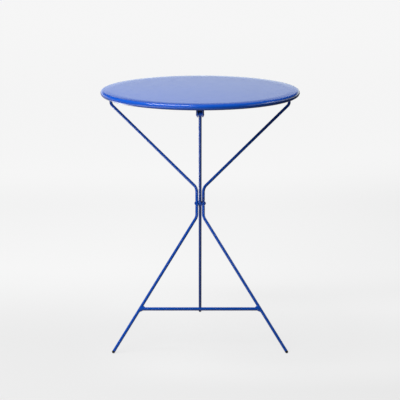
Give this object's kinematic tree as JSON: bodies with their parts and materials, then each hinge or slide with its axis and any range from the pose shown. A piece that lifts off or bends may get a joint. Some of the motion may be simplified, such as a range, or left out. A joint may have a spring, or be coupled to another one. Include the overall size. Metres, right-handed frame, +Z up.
{
  "type": "folding bistro table",
  "caption": "Round sheet-steel bistro table top with a rolled edge, hinged on bent rod legs that cross at the waist and latch under the front edge; folds flat.",
  "frame": {"origin": "on the floor, under the middle of the round top", "axes": "+Z up; -Y is the front, where the latch keeper and the two wide-set feet are; +X to the right seen from the front"},
  "size_m": [0.5999, 0.6, 0.75],
  "materials": {
    "blue_powder_coat": "satin powder coat",
    "dark_plastic": "matt"
  },
  "bodies": {
    "leg_frame": {"left_side_rod": "blue_powder_coat", "right_side_rod": "blue_powder_coat", "crossbar": "blue_powder_coat", "waist_rivet": "blue_powder_coat", "left_waist_washer": "dark_plastic", "right_waist_washer": "dark_plastic", "left_hinge_washer": "dark_plastic", "right_hinge_washer": "dark_plastic", "left_hinge_cap": "blue_powder_coat", "right_hinge_cap": "blue_powder_coat", "left_foot_glide": "dark_plastic", "right_foot_glide": "dark_plastic"},
    "centre_leg": {"upper_centre_rod": "blue_powder_coat", "waist_bush": "blue_powder_coat", "lower_centre_rod": "blue_powder_coat", "latch_eye": "blue_powder_coat", "latch_pin": "blue_powder_coat", "rear_foot_glide": "dark_plastic"},
    "top": {"top_sheet": "blue_powder_coat", "rim_hoop": "blue_powder_coat", "hinge_brace": "blue_powder_coat", "left_hinge_lug": "blue_powder_coat", "right_hinge_lug": "blue_powder_coat", "front_keeper": "blue_powder_coat"}
  },
  "joints": [
    {"name": "top_tilt", "type": "hinge", "parent": "leg_frame", "child": "top", "pos_m": [0, 0.034, 0.724], "axis": [-1, 0, 0], "range_deg": [0, 111.9]},
    {"name": "leg_fold", "type": "hinge", "parent": "leg_frame", "child": "centre_leg", "pos_m": [0, -0.08943, 0.41692], "axis": [-1, 0, 0], "range_deg": [0, 51.21]}
  ],
  "couplings": [
    {"joint": "leg_fold", "follows": "top_tilt", "ratio": 0.45761}
  ]
}
